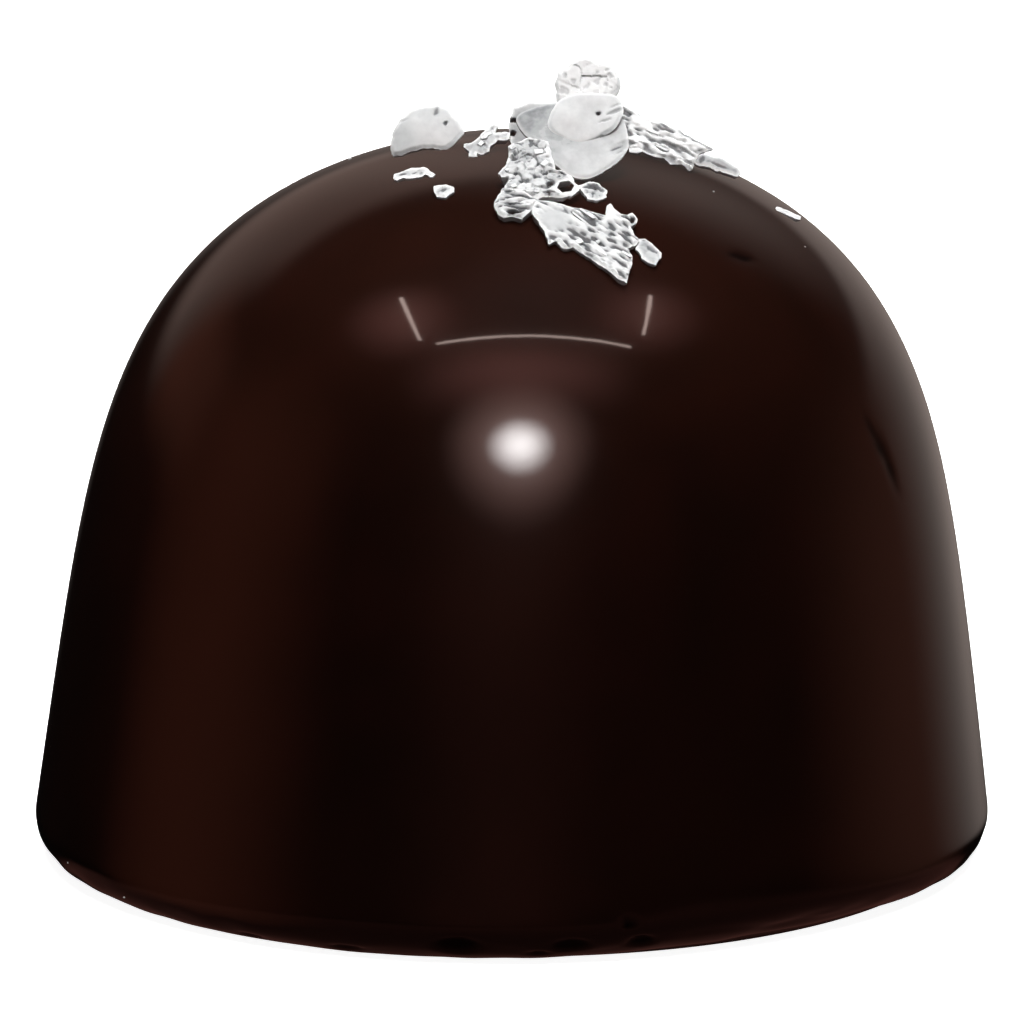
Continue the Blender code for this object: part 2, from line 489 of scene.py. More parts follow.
@dataclass
class ChocolateBody:
    """The cast body: crown, wall, rounded lower edge and scraped foot.

    waviness is how far swells of wave_size move the skin, and edge_unevenness how far lumps
    of lump_size move the lower edge. foot_hollow is how far the foot is scraped hollow.
    """

    profile: DomeProfile
    finish: TemperedChocolate
    turn_steps: int = 480
    crown_steps: int = 70
    crown_end_degrees: float = 78.0
    wall_steps: int = 52
    edge_steps: int = 22
    foot_steps: int = 26
    waviness: float = 0.012
    wave_size: float = 7.0
    edge_unevenness: float = 0.05
    lump_size: float = 1.3
    foot_hollow: float = 0.06
    marks: tuple[Mark, ...] = (
        Mark(50.0, 18.73, 0.46, 0.17, 0.020, 20.0, 1.5, 1.0),
        Mark(52.5, 18.62, 0.14, 0.09, 0.010, 20.0, 1.5, 0.9),
        Mark(60.4, 13.30, 0.30, 0.46, 0.020, -24.0, 1.5, 1.0),
        Mark(61.6, 12.62, 0.24, 0.62, 0.020, -14.0, 1.5, 1.0),
        Mark(59.2, 13.95, 0.20, 0.28, 0.010, -40.0, 1.5, 0.9),
        Mark(36.0, 0.30, 5.00, 0.90, 0.27, 0.0, 1.0, 0.0),
        # Pits along the foot, whose last value paints shade into their hollows.
        Mark(-6.4, 0.60, 0.66, 0.27, 0.12, 0.0, 3.0, 1.0),
        Mark(7.0, 0.54, 0.56, 0.26, 0.12, 0.0, 3.0, 1.0),
        Mark(15.4, 0.50, 0.38, 0.24, 0.12, 0.0, 3.0, 1.0),
        Mark(13.7, 1.15, 0.18, 0.12, 0.08, 0.0, 2.0, 0.9),
        Mark(-20.0, 0.25, 0.45, 0.10, 0.08, 0.0, 2.0, 0.6),
        Mark(-33.0, 0.22, 0.35, 0.10, 0.07, 0.0, 2.0, 0.6),
        Mark(3.2, 0.30, 0.30, 0.10, 0.08, 0.0, 2.0, 0.8),
        Mark(96.0, 0.50, 0.45, 0.20, 0.18, 0.0, 2.0, 0.8),
        Mark(141.0, 0.62, 0.35, 0.20, 0.20, 0.0, 2.0, 0.8),
        Mark(188.0, 0.45, 0.60, 0.18, 0.20, 0.0, 2.0, 0.8),
        Mark(243.0, 0.70, 0.30, 0.22, 0.16, 0.0, 2.0, 0.8),
        Mark(205.0, 14.6, 0.14, 0.80, 0.02, 24.0, 1.5, 0.8),
        Mark(128.0, 17.2, 0.30, 0.12, 0.02, 0.0, 1.5, 0.8),
    )

    def rows(self) -> list[Point]:
        """List the outer line from the top to the middle of the foot.

        Returns:
            Radius and height of each row.
        """
        shape = self.profile
        end = math.radians(self.crown_end_degrees)
        line = [
            shape.crown_point(end * step / self.crown_steps)
            for step in range(1, self.crown_steps + 1)
        ]
        top = line[-1][1]
        for step in range(1, self.wall_steps):
            height = top + (shape.foot_round - top) * step / self.wall_steps
            line.append((shape.radius_at(height), height))
        for step in range(self.edge_steps + 1):
            turn = math.radians(90.0) * step / self.edge_steps
            height = shape.foot_round * (1.0 - math.sin(turn))
            inset = shape.foot_round * (1.0 - math.cos(turn))
            line.append((shape.radius_at(height) - inset, height))
        sole = line[-1][0]
        for step in range(1, self.foot_steps):
            line.append((sole * (1.0 - step / self.foot_steps), 0.0))
        return line

    def skin_offset(
        self, around: np.ndarray, along: np.ndarray, radius: np.ndarray, height: np.ndarray,
    ) -> tuple[np.ndarray, np.ndarray]:
        """Work out how far each point of the skin moves along its normal, its wear and its painted
        shade.

        Args:
            around: Angle from the front, in degrees.
            along: Distance down the outer line from the top.
            radius: Radius of the point.
            height: Height of the point.

        Returns:
            Offsets in millimetres, outwards positive, and the lost gloss with painted shade, from
            0 to 1.
        """
        turn = np.radians(around)
        x, y = radius * np.sin(turn), -radius * np.cos(turn)
        swell = np.array([
            noise.noise(Vector((a, b, c)) / self.wave_size) for a, b, c in zip(x, y, height)
        ])
        offset = self.waviness * swell
        near_edge = np.exp(-((height - 0.35) / 0.4) ** 2)
        lumps = np.array([
            noise.noise(Vector((a, b, 3.0 * c)) / self.lump_size + Vector((9.0, 2.0, 5.0)))
            for a, b, c in zip(x, y, height)
        ])
        offset += self.edge_unevenness * near_edge * lumps
        dull_and_shade = np.zeros_like(offset)
        levels = np.array([row[1] for row in self.rows()])
        for mark in self.marks:
            centre = np.interp(mark.height, levels[::-1], self.line_lengths()[::-1])
            apart = (around - mark.around + 180.0) % 360.0 - 180.0
            across = np.radians(apart) * np.maximum(radius, 0.5)
            down = along - centre
            tilt = math.radians(mark.tilt)
            u = across * math.cos(tilt) + down * math.sin(tilt)
            v = down * math.cos(tilt) - across * math.sin(tilt)
            reach = ((u / mark.width) ** 2 + (v / mark.tall) ** 2) ** mark.crispness
            cover = np.exp(-np.minimum(reach, 50.0))
            offset -= mark.depth * cover
            # One value both dulls the gloss and paints shade into the mark.
            dull_and_shade = np.maximum(dull_and_shade, mark.dull_and_shade * cover)
        return offset, dull_and_shade

    def line_lengths(self) -> np.ndarray:
        """Distance down the outer line from its first row to each row."""
        line = np.array(self.rows())
        steps = np.hypot(*np.diff(line, axis=0).T)
        return np.concatenate(([0.0], np.cumsum(steps)))

    def points(self) -> tuple[np.ndarray, np.ndarray]:
        """Place every point of the skin.

        Returns:
            An array of rows by turn steps by three, in millimetres, and each point's lost
            gloss and painted shade.
        """
        line = np.array(self.rows())
        lengths = self.line_lengths()
        slope = np.gradient(line, axis=0)
        slope /= np.linalg.norm(slope, axis=1)[:, None]
        out, up = -slope[:, 1], slope[:, 0]
        around = np.arange(self.turn_steps) * 360.0 / self.turn_steps
        grid = np.meshgrid(around, np.arange(len(line)))
        angle, row = grid[0].ravel(), grid[1].ravel()
        radius, height = line[row, 0], line[row, 1]
        offset, dull_and_shade = self.skin_offset(angle, lengths[row], radius, height)
        turn = np.radians(angle)
        on_foot = height <= 0.0
        reach = radius + np.where(on_foot, 0.0, out[row] * offset)
        level = height + np.where(on_foot, 0.0, up[row] * offset)
        x, y = reach * np.sin(turn), -reach * np.cos(turn)
        hollow = self.foot_hollow * smoothstep((line[-self.foot_steps, 0] - radius) / 1.5)
        scraped = 0.5 + 0.5 * ripple(x, y, 3.5, 4.0)
        level = np.where(on_foot, hollow * scraped, np.maximum(level, 0.0))
        skin = np.stack([x, y, level], axis=1).reshape(len(line), self.turn_steps, 3)
        return skin, dull_and_shade

    def build(self) -> bpy.types.Object:
        """Make the body's mesh and dress it.

        Returns:
            The chocolate object.
        """
        points, dull_and_shade = self.points()
        rows, turns = points.shape[:2]
        top = len(points.reshape(-1, 3))
        corners = np.vstack([
            points.reshape(-1, 3),
            [(0.0, 0.0, self.profile.height), (0.0, 0.0, self.foot_hollow / 2.0)],
        ])
        faces: list[Face] = []
        for turn in range(turns):
            after = (turn + 1) % turns
            faces.append((top, turn, after))
            for row in range(rows - 1):
                upper, lower = row * turns, (row + 1) * turns
                faces.append((upper + turn, lower + turn, lower + after, upper + after))
            last = (rows - 1) * turns
            faces.append((top + 1, last + after, last + turn))
        body = add_mesh(
            "chocolate_body", (corners * MM).tolist(), faces, self.finish.material(),
            ("gloss_loss_and_shade", np.append(dull_and_shade, (0.0, 0.0))),
        )
        body.data.transform(self.profile.lean())
        body.data.validate()
        body.data.shade_smooth()
        return body


# Salt


class SaltSurface(Enum):
    """How the face of a salt flake grew."""

    SHELL = "smooth curved crust"
    STRIATED = "growth steps side by side"
    ROUGH = "small crystals grown into each other"
    FROSTED = "fine grains on a clear plate"


@dataclass(frozen=True)
class Pit:
    """A hollow in a flake's face, or a hole right through it.

    stretch is how much longer than wide it is, along the direction turn in degrees. The last
    value is how far its floor is darkened from white with painted shade, towards the colour of
    the chocolate below.
    """

    at: Point
    radius: float
    depth: float = 0.12
    stretch: float = 1.0
    turn: float = 0.0
    painted_shade: float = 1.2


@dataclass(frozen=True)
class Chip:
    """A small blocky crystal on a flake. size is its longest side."""

    at: Point
    size: float
    turn: float = 20.0


@dataclass(frozen=True)
class SaltSpeck:
    """A speck of salt dust on the skin, placed by its angle from the front and its height."""

    around: float
    height: float
    size: float


@dataclass(frozen=True)
class SaltFlake:
    """One plate of salt.

    place is where its middle is from the dome's axis, and rise is how far that middle is above
    the chocolate under it. facing is the way its face looks, in degrees from the front towards
    +X, and lean is how far it lies back from upright. outline is drawn in its own plane: x to
    the right and y up the plate. grain is the direction of its growth steps in that plane, and
    dish how far its middle stands forward. tone is how white its even face is from 0 to 1,
    shade how that changes for each millimetre to the right and up, rim_tone how much whiter its
    broken rim is, and calm a patch that grew smooth. crystals and needles are how many small
    blocks and slivers lie scattered on its face.
    """

    name: str
    place: Point
    rise: float
    facing: float
    lean: float
    thickness: float
    outline: tuple[Point, ...]
    is_round: bool = False
    surface: SaltSurface = SaltSurface.FROSTED
    grain: float = 0.0
    dish: float = 0.0
    tone: float = 0.7
    shade: Point = (0.0, 0.0)
    rim_tone: float = 0.8
    calm: Pit | None = None
    pits: tuple[Pit, ...] = ()
    holes: tuple[Pit, ...] = ()
    chips: tuple[Chip, ...] = ()
    crystals: int = 0
    needles: int = 0

    def placement(self, profile: DomeProfile) -> Matrix:
        """Stand the flat outline on the chocolate.

        Args:
            profile: The body that it stands on.

        Returns:
            Matrix from the plate's millimetres to the frame's.
        """
        height = profile.height_at(math.hypot(*self.place)) + self.rise
        place = Matrix.Translation(Vector((self.place[0], self.place[1], height)))
        facing = Matrix.Rotation(math.radians(self.facing), 4, "Z")
        lean = Matrix.Rotation(math.radians(90.0 - self.lean), 4, "X")
        return profile.lean() @ place @ facing @ lean


@dataclass
class Crust:
    """Corners, faces and whiteness of the salt mesh, with its painted shade, while it grows."""

    corners: list[np.ndarray] = field(default_factory=list)
    faces: list[Face] = field(default_factory=list)
    frost_and_shade: list[np.ndarray] = field(default_factory=list)
    count: int = 0

    def add(
        self, corners: np.ndarray, faces: list[Face], frost_and_shade: np.ndarray, matrix: Matrix,
    ) -> None:
        """Add one closed part.

        Args:
            corners: Its corners in millimetres, in its own plane.
            faces: Its faces by corner number.
            frost_and_shade: How white each corner is, from 0 to 1. Below 0 it is darkened with
                painted shade.
            matrix: Where the part stands.
        """
        turned = corners @ np.array(matrix.to_3x3()).T + np.array(matrix.translation)
        self.corners.append(turned)
        self.frost_and_shade.append(frost_and_shade)
        self.faces.extend(tuple(corner + self.count for corner in face) for face in faces)
        self.count += len(corners)


@dataclass
class FlakeCutter:
    """Turns a flake's outline into a closed plate with a broken rim and a grown face.

    spacing is the size of the face's triangles and rim_step that of the rim's. raggedness is
    how far the rim breaks in and out, in breaks and finer nicks. The plate is full thick at
    bevel from the rim, where edge_share of it is left, edge_lift of the way to the front, and
    white over rim_width. streak and hair are widths of growth steps and swell of their broad
    rise. crystal, small_crystal and frost_crystal are widths of crystals, dot of the hollows
    between them and cloud of the faint clouds.
    """

    spacing: float = 0.042
    rim_step: float = 0.05
    raggedness: float = 0.035
    break_size: float = 0.23
    nick_size: float = 0.09
    bevel: float = 0.11
    edge_share: float = 0.42
    edge_lift: float = 0.75
    rim_width: float = 0.08
    round_rim_tone: float = 0.3
    streak: float = 0.135
    hair: float = 0.09
    swell: float = 0.45
    crystal: float = 0.38
    small_crystal: float = 0.17
    frost_crystal: float = 0.42
    dot: float = 0.16
    cloud: float = 0.55

    def rim(self, flake: SaltFlake, seed: int) -> np.ndarray:
        """Draw the outline with its small breaks.

        Args:
            flake: The flake.
            seed: Its number, which makes its breaks its own.

        Returns:
            Points around the rim, in the plate's plane.
        """
        line = round_line(flake.outline) if flake.is_round else np.array(flake.outline)
        line = even_steps(line, self.rim_step)
        ahead, behind = np.roll(line, -1, axis=0), np.roll(line, 1, axis=0)
        along = ahead - behind
        along /= np.maximum(np.linalg.norm(along, axis=1), 1e-9)[:, None]
        out = np.stack([along[:, 1], -along[:, 0]], axis=1)
        coarse = ripple(line[:, 0], line[:, 1], self.break_size, seed * 3.1)
        fine = ripple(line[:, 0], line[:, 1], self.nick_size, seed * 5.7 + 2.0)
        steps = np.round(coarse * 2.5) / 2.5
        amount = self.raggedness * (0.35 if flake.is_round else 1.0)
        return line + out * (amount * (1.1 * steps + 0.45 * fine))[:, None]

    def plan(
        self, flake: SaltFlake, seed: int,
    ) -> tuple[np.ndarray, list[Face], np.ndarray]:
        """Fill the outline with triangles.

        Args:
            flake: The flake.
            seed: Its number.

        Returns:
            Points, triangles, and each point's distance from the rim.
        """
        rim = self.rim(flake, seed)
        loops = [rim]
        for hole in flake.holes:
            turns = np.radians(np.arange(0.0, 360.0, 60.0) + 12.0)
            ring = np.stack([np.cos(turns), np.sin(turns)], axis=1) * hole.radius
            loops.append(even_steps(ring + np.array(hole.at), self.rim_step))
        low, high = rim.min(axis=0), rim.max(axis=0)
        random = np.random.default_rng(seed)
        rows = np.arange(low[1], high[1], self.spacing * 0.87)
        cells = []
        for number, level in enumerate(rows):
            shift = self.spacing / 2.0 if number % 2 else 0.0
            across = np.arange(low[0] + shift, high[0], self.spacing)
            cells.append(np.stack([across, np.full(len(across), level)], axis=1))
        inner = np.vstack(cells)
        inner += random.uniform(-0.18, 0.18, inner.shape) * self.spacing
        inside = contains(rim, inner)
        for hole in loops[1:]:
            inside &= ~contains(hole, inner)
        gap = np.min([rim_distance(loop, inner) for loop in loops], axis=0)
        inner = inner[inside & (gap > 0.45 * self.spacing)]
        points = np.vstack([*loops, inner])
        edges, start = [], 0
        for loop in loops:
            count = len(loop)
            edges += [(start + i, start + (i + 1) % count) for i in range(count)]
            start += count
        result = geometry.delaunay_2d_cdt(
            [Vector(point) for point in points], edges, [], 1, 1e-6, False,
        )
        points = np.array([tuple(corner) for corner in result[0]])
        found = np.array([face for face in result[2] if len(face) == 3])
        a, b, c = (points[found[:, corner]] for corner in range(3))
        area = cross(b - a, c - a)
        middles = (a + b + c) / 3.0
        keep = contains(rim, middles) & (np.abs(area) > 1e-7)
        for hole in loops[1:]:
            keep &= ~contains(hole, middles)
        found[area < 0.0] = found[area < 0.0][:, ::-1]
        triangles = [tuple(face) for face in found[keep].tolist()]
        distance = np.min([rim_distance(loop, points) for loop in loops], axis=0)
        return points, triangles, distance

    def relief(
        self, flake: SaltFlake, points: np.ndarray, seed: int,
    ) -> tuple[np.ndarray, np.ndarray]:
        """Raise the face as its salt grew.

        Args:
            flake: The flake.
            points: Points of the plate.
            seed: Its number.

        Returns:
            Height above the even face in millimetres, and how white each point is, with painted
            shade in grooves, hollows and gaps between crystals.
        """
        x, y = points[:, 0], points[:, 1]
        turn = math.radians(flake.grain)
        along = x * math.cos(turn) + y * math.sin(turn)
        across = y * math.cos(turn) - x * math.sin(turn)
        tone = flake.tone + flake.shade[0] * x + flake.shade[1] * y
        tone = tone + 0.10 * ripple(x, y, self.cloud, seed + 8.5)
        if flake.surface is SaltSurface.STRIATED:
            fibre = ripple(along * 0.34, across, self.streak, seed + 0.5)
            fibre += 0.8 * ripple(along * 0.42, across, self.hair, seed + 3.5)
            grown = np.ones(len(points))
            if flake.calm:
                away = np.linalg.norm(points - np.array(flake.calm.at), axis=1)
                grown = smoothstep(away / flake.calm.radius - 0.5)
            gap = smoothstep((fibre - 0.02) / 0.50) * grown
            ridge = smoothstep((-fibre - 0.02) / 0.30) * grown
            broad = ripple(along * 0.5, across, self.swell, seed + 7.5)
            # Growth gaps are sunk and darkened, with painted shade in the grooves.
            height = 0.03 * ridge - 0.05 * gap + 0.03 * broad
            return height, tone + 0.26 * ridge - 0.90 * gap
        if flake.surface is SaltSurface.ROUGH:
            level, shine, border = crystal_facets(points, self.crystal, seed)
            small, _, crack = crystal_facets(points, self.small_crystal, seed + 50)
            dots = smoothstep((ripple(x, y, self.dot, seed + 4.5) - 0.24) / 0.14)
            # Borders, cracks and dots are darkened, with painted shade between crystals and in
            # hollows.
            height = 0.08 * level + 0.03 * small - 0.02 * border - 0.03 * dots
            return height, tone + 0.22 * shine - 0.18 * border - 0.10 * crack - 0.5 * dots
        if flake.surface is SaltSurface.FROSTED:
            level, shine, border = crystal_facets(points, self.frost_crystal, seed)
            dots = smoothstep((ripple(x, y, self.dot, seed + 4.5) - 0.30) / 0.14)
            # Borders and dots are darkened, with painted shade between crystals and in hollows.
            height = 0.025 * level - 0.01 * border - 0.02 * dots
            return height, tone + 0.14 * shine - 0.10 * border - 0.40 * dots
        reach = np.linalg.norm(points, axis=1).max()
        patch = smoothstep((along / reach + 0.05) * 1.8) * smoothstep(-across / reach * 2.4)
        grown = ripple(along * 0.16, across, 0.15, seed + 6.5)
        step = smoothstep((grown - 0.05) / 0.25) * patch
        height = 0.03 * ripple(x, y, self.cloud, seed + 8.5) - 0.04 * step
        return height, tone - 0.45 * step + 0.12 * patch

    def cut(self, flake: SaltFlake, seed: int, crust: Crust, matrix: Matrix) -> None:
        """Add the flake's closed plate to the salt.

        Args:
            flake: The flake.
            seed: Its number.
            crust: The salt so far.
            matrix: Where the flake stands.
        """
        points, triangles, distance = self.plan(flake, seed)
        height, frost_and_shade = self.relief(flake, points, seed)
        lump = 0.5 + 0.5 * ripple(points[:, 0], points[:, 1], 0.35, seed + 21.0)
        half = flake.thickness / 2.0
        thick = np.ones(len(points))
        for hole in flake.holes:
            away = np.linalg.norm(points - np.array(hole.at), axis=1) - hole.radius
            thick = np.minimum(thick, 0.3 + 0.7 * smoothstep(away / 0.25))
        edge = half * (self.edge_share * (0.6 + 0.7 * lump) * thick - self.edge_lift)
        full = smoothstep(distance / self.bevel) * thick
        reach = np.linalg.norm(points, axis=1).max()
        swell = flake.dish * (1.0 - (np.linalg.norm(points, axis=1) / reach) ** 2)
        brim = self.edge_lift * half
        front = brim + (half - brim) * full + height * full
        back = -edge - (half - edge) * full + 0.4 * height * full
        wobble = 1.0 + 0.5 * ripple(points[:, 0], points[:, 1], 0.12, seed + 31.0)
        for pit in flake.pits:
            spin = math.radians(pit.turn)
            x, y = (points - np.array(pit.at)).T
            apart = np.hypot(
                (x * math.cos(spin) + y * math.sin(spin)) / pit.stretch,
                y * math.cos(spin) - x * math.sin(spin),
            )
            hollow = np.exp(-((apart * wobble / pit.radius) ** 4))
            front -= pit.depth * hollow
            # Pit floors darken, with painted shade in the hollow.
            frost_and_shade = frost_and_shade - pit.painted_shade * hollow
        front = np.maximum(front, back + 0.05)
        rim_tone = self.round_rim_tone if flake.is_round else flake.rim_tone
        frost_and_shade = frost_and_shade + rim_tone * np.exp(-((distance / self.rim_width) ** 2))
        frost_and_shade = np.clip(frost_and_shade, -1.0, 1.0)
        count = len(points)
        corners = np.vstack([
            np.column_stack([points, front + swell]), np.column_stack([points, back + swell]),
        ])
        faces: list[Face] = list(triangles)
        faces += [(c + count, b + count, a + count) for a, b, c in triangles]
        sides = {(a, b) for t in triangles for a, b in zip(t, (*t[1:], t[0]))}
        for a, b in sorted(sides):
            if (b, a) not in sides:
                faces.append((b, a, a + count, b + count))
        crust.add(corners, faces, np.concatenate([frost_and_shade, np.minimum(frost_and_shade + 0.1, 1.0)]), matrix)
        for number, chip in enumerate(flake.chips):
            sides = (chip.size, 0.72 * chip.size, 0.6 * chip.size)
            self.set_block(crust, matrix, chip.at, half, sides, chip.turn, seed * 10 + number)
        self.scatter(flake, seed, crust, matrix)

    def scatter(self, flake: SaltFlake, seed: int, crust: Crust, matrix: Matrix) -> None:
        """Strew small blocks and slivers over the flake's face.

        Args:
            flake: The flake.
            seed: Its number.
            crust: The salt so far.
            matrix: Where the flake stands.
        """
        count = flake.crystals + flake.needles
        if not count:
            return
        random = np.random.default_rng(700 + seed)
        line = np.array(flake.outline)
        places = random.uniform(line.min(axis=0), line.max(axis=0), (400, 2))
        clear = contains(line, places) & (rim_distance(line, places) > 0.12)
        for hole in flake.holes:
            clear &= np.linalg.norm(places - np.array(hole.at), axis=1) > hole.radius + 0.15
        for number, at in enumerate(places[clear][:count]):
            if number < flake.crystals:
                longest = random.uniform(0.10, 0.22)
                sides = (longest, 0.75 * longest, 0.35 * longest)
                turn = random.uniform(0.0, 90.0)
            else:
                sides = (random.uniform(0.30, 0.60), random.uniform(0.06, 0.10), 0.07)
                turn = flake.grain + random.uniform(-9.0, 9.0)
            spot = (float(at[0]), float(at[1]))
            self.set_block(
                crust, matrix, spot, flake.thickness / 2.0, sides, turn, seed * 100 + number,
            )

    def set_block(
        self, crust: Crust, matrix: Matrix, at: Point, level: float,
        sides: tuple[float, float, float], turn: float, seed: int,
    ) -> None:
        """Set one small crooked crystal on a face.

        Args:
            crust: The salt so far.
            matrix: Where the face is.
            at: Its middle on the face.
            level: Height of the face.
            sides: Its three sides.
            turn: Its turn on the face, in degrees.
            seed: Its number.
        """
        block = crooked_block(sides, seed)
        spin = Matrix.Rotation(math.radians(turn), 4, "Z")
        step = Matrix.Translation(Vector((*at, level)))
        tone = np.random.default_rng(seed).uniform(0.75, 1.0)
        crust.add(block, CHIP_FACES, np.full(len(block), tone), matrix @ step @ spin)


CHIP_FACES: list[Face] = [
    (0, 3, 2, 1), (4, 5, 6, 7), (0, 1, 5, 4), (1, 2, 6, 5), (2, 3, 7, 6), (3, 0, 4, 7),
]


def crooked_block(sides: tuple[float, float, float], seed: int) -> np.ndarray:
    """Make the eight corners of a small crooked crystal.

    Args:
        sides: Its length, width and height.
        seed: Its number.

    Returns:
        Corners in millimetres about its middle.
    """
    random = np.random.default_rng(seed)
    base = np.array([(-1, -1, -1), (1, -1, -1), (1, 1, -1), (-1, 1, -1)], float)
    block = np.vstack([base, base + (0.0, 0.0, 2.0)]) * np.array(sides) / 2.0
    return block * random.uniform(0.72, 1.12, block.shape)


def crystal_facets(
    points: np.ndarray, cell: float, seed: int,
) -> tuple[np.ndarray, np.ndarray, np.ndarray]:
    """Split a plane into small flat crystal faces that meet in steps.

    Args:
        points: Points of the plane.
        cell: Rough width of one crystal, in millimetres.
        seed: Number that sets the pattern.

    Returns:
        Height and tone of each point from -1 to 1, and how near it is to a gap, from 0 to 1.
    """
    random = np.random.default_rng(1000 + seed)
    low, high = points.min(axis=0) - cell, points.max(axis=0) + cell
    count = max(int(np.prod((high - low) / cell)), 3)
    seeds = random.uniform(low, high, (count, 2))
    level = random.uniform(-0.6, 0.6, count)
    tilt = random.uniform(-2.0, 2.0, (count, 2)) / cell * 0.35
    tone = random.uniform(-1.0, 1.0, count)
    apart = np.linalg.norm(points[:, None, :] - seeds[None], axis=2)
    order = np.argsort(apart, axis=1)
    nearest, second = order[:, 0], order[:, 1]
    rows = np.arange(len(points))
    margin = apart[rows, second] - apart[rows, nearest]
    gap = 1.0 - smoothstep(margin / (0.30 * cell))
    offset = points - seeds[nearest]
    height = level[nearest] + np.sum(tilt[nearest] * offset, axis=1)
    return np.clip(height, -1.0, 1.0), tone[nearest], gap


def cross(first: np.ndarray, second: np.ndarray) -> np.ndarray:
    """Turn from flat directions to others, as the areas between them."""
    return first[:, 0] * second[:, 1] - first[:, 1] * second[:, 0]


def round_line(corners: tuple[Point, ...], steps: int = 8) -> np.ndarray:
    """Draw a smooth closed line through points.

    Args:
        corners: Points that the line passes through.
        steps: Steps between two points.

    Returns:
        Points along the line.
    """
    knots = np.array(corners)
    line = []
    for index in range(len(knots)):
        a, b, c, d = (knots[(index + shift) % len(knots)] for shift in (-1, 0, 1, 2))
        for step in range(steps):
            t = step / steps
            line.append(
                0.5 * (2.0 * b + (c - a) * t + (2.0 * a - 5.0 * b + 4.0 * c - d) * t ** 2
                       + (3.0 * b - a - 3.0 * c + d) * t ** 3)
            )
    return np.array(line)


def even_steps(line: np.ndarray, step: float) -> np.ndarray:
    """Split a closed line so that none of its steps is long.

    Args:
        line: Corners of the closed line.
        step: Longest step.

    Returns:
        Points along the line, its corners among them.
    """
    points = []
    for start, end in zip(line, np.roll(line, -1, axis=0)):
        count = max(int(math.ceil(np.linalg.norm(end - start) / step)), 1)
        points += [start + (end - start) * part / count for part in range(count)]
    return np.array(points)


def contains(loop: np.ndarray, points: np.ndarray) -> np.ndarray:
    """Tell which points lie inside a closed line.

    Args:
        loop: Corners of the closed line.
        points: Points to test.

    Returns:
        True for each point inside.
    """
    inside = np.zeros(len(points), bool)
    x, y = points[:, 0], points[:, 1]
    for (x0, y0), (x1, y1) in zip(loop, np.roll(loop, -1, axis=0)):
        spans = (y0 > y) != (y1 > y)
        rise = y1 - y0 if y1 != y0 else 1.0
        inside ^= spans & (x < x0 + (x1 - x0) * (y - y0) / rise)
    return inside


def rim_distance(loop: np.ndarray, points: np.ndarray) -> np.ndarray:
    """Measure how far points are from a closed line.

    Args:
        loop: Corners of the closed line.
        points: Points to measure.

    Returns:
        Distances in millimetres.
    """
    best = np.full(len(points), np.inf)
    for start, end in zip(loop, np.roll(loop, -1, axis=0)):
        side = end - start
        share = (points - start) @ side / max(float(side @ side), 1e-12)
        nearest = start + np.clip(share, 0.0, 1.0)[:, None] * side
        best = np.minimum(best, np.linalg.norm(points - nearest, axis=1))
    return best


